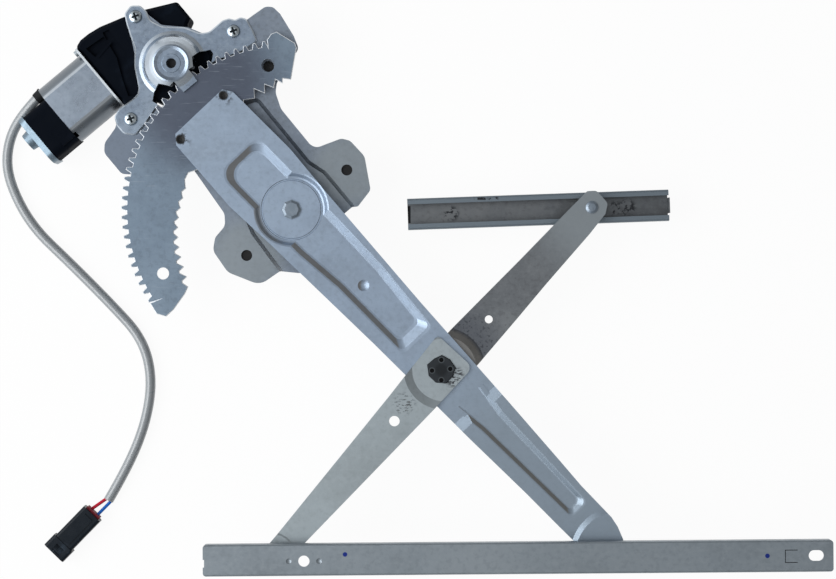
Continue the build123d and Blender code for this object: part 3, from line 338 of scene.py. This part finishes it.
def paint_base_plate():
    """Dull zinc, with a painted highlight on a step, painted shade in a corner and paler ears."""
    step_at = (-143.5, 38.0)
    corner_at = (-271.0, 128.0)
    ears_at = [(-67.0, 105.6), (-157.0, 29.0)]
    plate = metal("dull_zinc_plate", (124, 134, 147), (144, 154, 166), (100, 106, 111), 0.7, 0.45)
    # Painted shade: a brownish tone on the walls that face right
    wall_shade(plate, 0.6)
    # Painted highlight on the leaning wall of the step
    step = plate.combine(plate.near(step_at, 30.0, 5.0), plate.ramp(plate.side("Z"), 0.97, 0.9))
    plate.layer(step, STEP_HIGHLIGHT)
    plate.layer(plate.near(corner_at, 22.0, 30.0), SHADED_CORNER, 0.7)
    for ear in ears_at:
        plate.layer(plate.near(ear, 20.0, 22.0), PALE_EAR, 0.6)
    plate.on("base_plate")


def paint_cover():
    """Bright stamped sheet, with a painted highlight on its rolled edges and other leaning faces."""
    cover = metal("stamped_cover", (135, 149, 166), (164, 177, 190), (98, 107, 117), 0.9, 0.27)
    # Painted highlight on the faces that lean, the rolled edges among them
    cover.layer(cover.edges(0.98, 0.8), ROLLED_EDGE_HIGHLIGHT, 0.7)
    cover.on("gear_cover", "cover_bush")


def paint_lift_arm():
    """Bluish zinc, greyer towards its lower end, with grease round the sector's two rivets."""
    lower_half = (120.0, -180.0)
    arm = metal("galvanised_arm", (152, 168, 187), (162, 178, 196), (134, 146, 160), 0.7, 0.38,
                ARM_TURN)
    arm.layer(arm.near(lower_half, 60.0, 130.0), GREYER_ARM, 0.65)
    # Painted shade: a brownish tone on the walls that face right
    wall_shade(arm, 0.5)
    grease = arm.noise(170.0, 5.0)
    for rivet in ARM_RIVETS:
        arm.layer(arm.near(from_pivot(rivet), 2.6, 3.0), GREASE, 0.8)
        thin = arm.combine(arm.near(from_pivot(rivet), 4.0, 8.0), arm.ramp(grease, 0.5, 0.6))
        arm.layer(thin, THIN_GREASE)
    arm.on("lift_arm")


def paint_sector():
    """Scratched steel, with painted shade and a purple tinge near the cover, and painted highlights on
    the sheared edges.
    """
    tinge_and_shade_at = from_pivot((-85.0, 110.0))
    sector = metal("sheared_sector", (118, 134, 150), (130, 146, 161), (98, 110, 122), 0.75, 0.38)
    # Painted shade near the cover, with a purple tinge
    sector.layer(sector.near(tinge_and_shade_at, 40.0, 55.0), PURPLE_TINGE_AND_SHADE, 0.8)
    for turn in (35.0, 110.0):
        scratch = sector.noise(50.0, 2.0, (1, 16, 1), turn)
        sector.layer(sector.ramp(scratch, 0.66, 0.72), SCRATCH, 0.3)
    # Painted highlight on the sheared edges and other leaning faces
    sector.layer(sector.edges(0.95, 0.85), SHEARED_EDGE_HIGHLIGHT)
    sector.on("sector_gear")


def paint_front_arm():
    """Paler zinc, with dirt above its hole and a smear beside the hub."""
    dirt_at = (-15.5, -105.0)
    smear_at = (CENTRE[0] + 9.0, CENTRE[1] - 6.0)
    front = metal("zinc_bar", (162, 172, 177), (172, 181, 185), (144, 152, 155), 0.7, 0.42,
                  CROSS_TURN)
    marks = front.noise(300.0, 6.0, (1, 2.2, 1), 20.0)
    dirt = front.combine(front.near(dirt_at, 5.0, 8.0), front.ramp(marks, 0.53, 0.6))
    front.layer(dirt, DIRT)
    smear = front.combine(front.near(smear_at, 6.0, 6.0), front.ramp(marks, 0.44, 0.54))
    front.layer(smear, SMEAR)
    front.on("cross_arm_front")


def paint_rear_arm():
    """Dulled zinc, darker and speckled round the hub, with a paler ring there and a paler upper end.
    """
    rear = metal("dulled_bar", (112, 116, 120), (134, 138, 141), (88, 89, 92), 0.7, 0.42,
                 CROSS_TURN, cloud=0.9)
    # Darker and speckled round the hub, with a paler ring at its middle
    darker_near_hub = rear.combine(rear.near(CENTRE, 42.0, 30.0), 0.7)
    rear.layer(darker_near_hub, DARKER_NEAR_HUB)
    speckle = rear.combine(rear.ramp(rear.noise(420.0), 0.55, 0.66), darker_near_hub)
    rear.layer(speckle, DARK_SPECKS)
    rear.layer(rear.near(CENTRE, 34.0, 4.0), PALER_RING, 0.75)
    rear.layer(rear.near(TOP_END, 20.0, 60.0), PALE_END, 0.8)
    rear.on("cross_arm_rear")


def paint_glass_rail():
    """Rolled zinc with two blue pen dots, and painted shade on the faces under its lanced slits."""
    dots_at = [(-68.0, -238.0), (307.7, -239.3)]
    slits_at = (329.2, -239.7)
    below_face = (72.2, 72.0)
    rail = metal("rolled_rail", (139, 148, 155), (152, 160, 166), (120, 128, 134), 0.7, 0.38,
                 RAIL_TURN)
    for dot in dots_at:
        rail.layer(rail.near(dot, 1.7, 0.7), PEN_BLUE)
    # Painted shade on the faces under the lanced slits
    slits = rail.combine(rail.near(slits_at, 9.0, 1.0), rail.past("Z", *below_face))
    rail.layer(slits, SLIT_SHADE)
    rail.on("glass_rail")


def paint_top_rail():
    """Dull zinc: stains on the web, lips painted paler than the deeper web as painted light, scuffs on
    one lip and painted shade at the cut end.
    """
    stains_at = [((27.5, 67.0), 4.0), ((177.0, 72.0), 3.5), ((188.0, 72.5), 5.0)]
    scuffs_at = (59.0, 80.0)
    cut_at = (-11.0, 66.0)
    up_to_web = (22.2, 21.6)
    above_walls = (30.0, 30.6)
    upper_lip_from = (78.5, 79.5)
    left_of_cut = (-9.6, -10.2)
    top = metal("dull_rail", (105, 109, 113), (122, 125, 127), (82, 84, 86), 0.7, 0.42,
                TOP_RAIL_TURN, cloud=0.9)
    marks = top.noise(260.0, 6.0)
    for place, reach in stains_at:
        stain = top.combine(top.near(place, reach, 5.0), top.ramp(marks, 0.5, 0.58))
        top.layer(top.combine(stain, top.past("Z", *up_to_web)), STAIN)
    # Painted light: the lips, on top, paler than the deeper web
    top.layer(top.past("Z", *above_walls), LIP_PAINTED_LIGHT)
    scuffs = top.combine(top.near(scuffs_at, 9.0, 3.0), top.past("Y", *upper_lip_from))
    scuffs = top.combine(scuffs, top.ramp(top.side("Z"), 0.8, 0.95))
    top.layer(top.combine(scuffs, top.ramp(marks, 0.46, 0.54)), SCUFF)
    # Painted shade at the cut end of the web
    cut = top.combine(top.near(cut_at, 7.6, 0.5), top.past("X", *left_of_cut))
    top.layer(cut, CUT_END_SHADE)
    top.on("top_rail", "rail_studs")


# Pins, screws and other turned steel

def paint_turned_steel():
    """Plain pins and an oiled gear."""
    pin = metal("plain_pins", (130, 142, 154), (152, 162, 172), (98, 104, 110), 0.8, 0.36)
    pin.on("main_pivot_pin", "lift_roller_pin", "guide_roller_pin", "top_roller_pin",
           "armature_shaft", "end_bearing")
    gear = metal("oiled_gear", (96, 100, 104), (150, 158, 166), (50, 52, 54), 0.8, 0.34)
    gear.on("pinion")


def paint_black_steel():
    """Blackened and oiled: nuts and the sector's rivets; the output shaft's black is painted shade in
    the hole atop the cover's dome.
    """
    oiled = Paint("black_steel_and_hole_shade", (12, 13, 15))
    oiled.set("Specular IOR Level", 0.3)
    oiled.layer(oiled.ramp(oiled.noise(300.0), 0.5, 0.7), OIL_FILM)
    oiled.roughness(oiled.noise(200.0), 0.4, 0.6)
    oiled.bump(oiled.noise(600.0), 0.2)
    # The output shaft's black is painted shade in the hole at the top of the cover's dome
    oiled.on("weld_nuts", "output_shaft", "arm_rivets")


def paint_screws():
    """Bright zinc, with painted shade in the cross recesses of the cover's three screws."""
    below_head_faces = (46.9, 46.3)
    screw = metal("bright_zinc_screws", (176, 186, 192), (214, 222, 226), (120, 126, 128), 0.95, 0.2)
    heads = 0.0
    for place in COVER_SCREWS:
        heads = screw.combine(screw.near(from_pivot(place), 4.0, 0.5), heads, "MAXIMUM")
    # Painted shade in the cross recesses
    screw.layer(screw.combine(heads, screw.past("Z", *below_head_faces)), RECESS_SHADE)
    screw.on("cover_screws", "flange_screws")


def paint_hub():
    """Blackened steel: a darker middle, and four holes with painted shade inside and painted
    highlights round their rims.
    """
    below_face = (56.7, 56.2)
    hub = plastic("blackened_hub", (50, 54, 58), (68, 72, 77), 0.4, 700.0, 0.4, 0.12)
    hub.layer(hub.near(HUB_HEAD, 3.5, 4.0), HUB_MIDDLE, 0.8)
    for x, y in HUB_HOLES:
        # Painted highlight round each hole's rim
        hub.layer(hub.near((HUB_HEAD[0] + x, HUB_HEAD[1] + y), 2.4, 0.8), HOLE_RIM_HIGHLIGHT, 0.5)
    # Painted shade inside the holes
    hub.layer(hub.past("Z", *below_face), HOLE_SHADE)
    hub.on("centre_hub")


# Motor, gearbox and lead

def paint_motor():
    """Satin can with painted highlights on the flat's edges and painted shade on the round sides; a
    flange brightened partly as a painted highlight; bright end cap.
    """
    can = metal("satin_can", (138, 149, 162), (154, 164, 176), (118, 126, 136), 0.85, 0.3,
                MOTOR_TURN)
    # Painted highlights along the flat's edges
    can.layer(can.edges(0.99, 0.965), CAN_EDGE_HIGHLIGHT, 0.8)
    # Painted shade on the round sides
    can.layer(can.edges(0.93, 0.8), CAN_SIDE_SHADE, 0.85)
    can.on("motor_can")
    # The flange's bright colour is partly a painted highlight
    flange = metal("flange_with_painted_highlight", (206, 214, 220), (226, 232, 236), (170, 178, 184), 0.4, 0.4)
    flange.on("motor_flange")
    cap = metal("bright_end_cap", (116, 134, 147), (142, 160, 172), (98, 112, 124), 0.75, 0.34)
    cap.on("motor_end_cap")


def paint_motor_inside():
    """Dark magnets and copper windings."""
    ferrite = plastic("ferrite", (44, 44, 48), (60, 60, 64), 0.6)
    ferrite.on("magnets")
    copper = metal("copper", (190, 112, 70), (214, 140, 96), (140, 78, 46), 0.9, 0.35)
    copper.on("armature_core", "commutator")


def paint_mouldings():
    """Black housings, pale gear and rollers, rubber parts."""
    housing = plastic("black_moulding", (11, 16, 24), (23, 31, 42), 0.62, shine=0.03)
    housing.on("gearbox_housing", "gearbox_lid", "motor_end_bell", "brush_holder")
    nylon = plastic("natural_nylon", (214, 212, 200), (228, 226, 216), 0.45)
    nylon.on("worm_wheel", "lift_roller", "guide_roller", "top_roller")
    rubber = plastic("black_rubber", (26, 28, 30), (48, 50, 52), 0.65, 900.0, 0.3)
    rubber.on("rubber_damper", "cable_grommet")


def paint_connector():
    """Slate housing with paler patches, partly scuffs and partly painted highlights, maroon seal,
    tinned terminals and the two wires.
    """
    # The slate's paler patches are partly painted highlights
    slate = plastic("slate_connector", (20, 28, 36), (84, 102, 120), 0.26, 600.0, 0.3, 0.15)
    slate.on("connector_housing")
    maroon = plastic("maroon_seal", (124, 36, 46), (160, 66, 74), 0.5)
    maroon.on("connector_seal")
    brass = metal("tinned_brass", (186, 168, 120), (210, 194, 150), (150, 132, 90), 0.9, 0.3)
    brass.on("connector_terminals")
    red = plastic("red_wire", (196, 30, 56), (220, 70, 90))
    red.on("wire_red")
    blue = plastic("blue_wire", (28, 104, 196), (70, 140, 220))
    blue.on("wire_blue")


def sheath_material():
    """Glossy grey sheath with faint paler stretches and handling marks."""
    sheath = Paint("grey_sheath", (134, 140, 144), 0.0, 0.24)
    sheath.set("Specular IOR Level", 0.8)
    sheath.set("Coat Weight", 1.0)
    sheath.set("Coat Roughness", 0.2)
    sheath.layer(sheath.ramp(sheath.noise(22.0), 0.5, 0.75), PALE_SHEATH)
    sheath.layer(sheath.ramp(sheath.noise(160.0, 4.0), 0.6, 0.7), HANDLED_SHEATH, 0.3)
    sheath.roughness(sheath.noise(120.0), 0.2, 0.34)
    return sheath.material


def cord_curve(points):
    """The sheath as a round curve through the route, closed at both ends."""
    line = bpy.data.curves.new("grey_lead", "CURVE")
    line.dimensions = "3D"
    spline = line.splines.new("NURBS")
    spline.points.add(len(points) - 1)
    for point, where in zip(spline.points, points):
        point.co = (*where, 1.0)
    spline.order_u = 3
    spline.use_endpoint_u = True
    spline.resolution_u = 12
    line.bevel_depth = CORD_D / 2000
    line.bevel_resolution = 6
    line.use_fill_caps = True
    line.materials.append(sheath_material())
    return line


for paint_piece in (paint_base_plate, paint_cover, paint_lift_arm, paint_sector, paint_front_arm,
                    paint_rear_arm, paint_glass_rail, paint_top_rail, paint_turned_steel,
                    paint_black_steel, paint_screws, paint_hub, paint_motor, paint_motor_inside,
                    paint_mouldings, paint_connector):
    paint_piece()

points = [((x + PIVOT[0]) / 1000, (y + PIVOT[1]) / 1000, z / 1000) for x, y, z in CORD_ROUTE]
lead = bpy.data.objects.new("grey_lead", cord_curve(points))
bpy.context.scene.collection.objects.link(lead)
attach(lead, "base")
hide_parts("cord_sheath")


# Floor, light and camera

def floor_material():
    """White floor that the camera and glossy surfaces see as nearly plain white, with shadows."""
    paint = Paint("white_floor", (255, 255, 255), 0.0, 0.9)
    paint.layer(paint.ramp(paint.noise(4.0), 0.4, 0.6), FLOOR_TINT)
    rays = paint.node("ShaderNodeLightPath")
    glow = paint.node("ShaderNodeEmission")
    glow.inputs["Strength"].default_value = 1.0
    seen = paint.combine(rays.outputs["Is Camera Ray"], rays.outputs["Is Glossy Ray"], "MAXIMUM")
    blend = paint.node("ShaderNodeMixShader")
    paint.link(paint.combine(seen, FLOOR_GLOW), blend.inputs["Fac"])
    paint.link(paint.shader.outputs["BSDF"], blend.inputs[1])
    paint.link(glow.outputs["Emission"], blend.inputs[2])
    paint.link(blend.outputs["Shader"], paint.tree.nodes["Material Output"].inputs["Surface"])
    return paint.material


def build_room():
    """Soft room light, brighter from one side, that the camera sees as plain white."""
    world = bpy.data.worlds.new("soft_room")
    bpy.context.scene.world = world
    world.use_nodes = True
    tree = world.node_tree
    add = tree.nodes.new
    link = tree.links.new
    background = tree.nodes["Background"]
    rays = add("ShaderNodeLightPath")

    level = add("ShaderNodeMapRange")
    level.inputs["To Min"].default_value = ROOM_LEVEL
    level.inputs["To Max"].default_value = ROOM_LEVEL_IN_GLOSS
    link(rays.outputs["Is Glossy Ray"], level.inputs["Value"])
    link(level.outputs["Result"], background.inputs["Strength"])

    towards = add("ShaderNodeTexCoord")
    lean = add("ShaderNodeVectorMath")
    lean.operation = "DOT_PRODUCT"
    lean.inputs[1].default_value = ROOM_SIDE
    spread = add("ShaderNodeMapRange")
    spread.inputs["From Min"].default_value = ROOM_SPREAD[0]
    spread.inputs["From Max"].default_value = ROOM_SPREAD[1]
    room = add("ShaderNodeValToRGB")
    room.color_ramp.elements.new(ROOM_MIDDLE)
    for stop, colour in zip(room.color_ramp.elements, ROOM_COLOURS):
        stop.color = (*colour, 1.0)
    link(towards.outputs["Generated"], lean.inputs[0])
    link(lean.outputs["Value"], spread.inputs["Value"])
    link(spread.outputs["Result"], room.inputs["Fac"])
    link(room.outputs["Color"], background.inputs["Color"])

    plain = add("ShaderNodeBackground")
    plain.inputs["Color"].default_value = (1.0, 1.0, 1.0, 1.0)
    plain.inputs["Strength"].default_value = 1.0
    choose = add("ShaderNodeMixShader")
    link(rays.outputs["Is Camera Ray"], choose.inputs["Fac"])
    link(background.outputs["Background"], choose.inputs[1])
    link(plain.outputs["Background"], choose.inputs[2])
    link(choose.outputs["Shader"], tree.nodes["World Output"].inputs["Surface"])


def lamp(name, place, size, power):
    """A soft rectangular lamp that looks at the middle of the object, in metres and watts."""
    data = bpy.data.lights.new(name, "AREA")
    data.shape = "RECTANGLE"
    data.size, data.size_y = size
    data.energy = power
    made = bpy.data.objects.new(name, data)
    made.location = place
    made.rotation_euler = (-Vector(place)).to_track_quat("-Z", "Y").to_euler()
    bpy.context.scene.collection.objects.link(made)


floor_mesh = bpy.data.meshes.new("floor")
corners = [(-1, -1), (1, -1), (1, 1), (-1, 1)]
spots = [(x * FLOOR_HALF, y * FLOOR_HALF, FLOOR_Z) for x, y in corners]
floor_mesh.from_pydata(spots, [], [(0, 1, 2, 3)])
floor_mesh.materials.append(floor_material())
floor = bpy.data.objects.new("floor", floor_mesh)
bpy.context.scene.collection.objects.link(floor)

build_room()
for name, place, size, power in LAMPS:
    lamp(name, place, size, power)

camera_data = bpy.data.cameras.new("camera")
camera_data.sensor_fit = "HORIZONTAL"
camera_data.angle = 2 * math.atan(VIEW_WIDTH / 2 / (CAMERA_AT[2] - VIEW_HEIGHT))
camera_data.clip_end = 50.0
camera = bpy.data.objects.new("camera", camera_data)
camera.location = [c / 1000 for c in CAMERA_AT]
bpy.context.scene.collection.objects.link(camera)
bpy.context.scene.camera = camera

bpy.context.scene.view_settings.view_transform = "Standard"
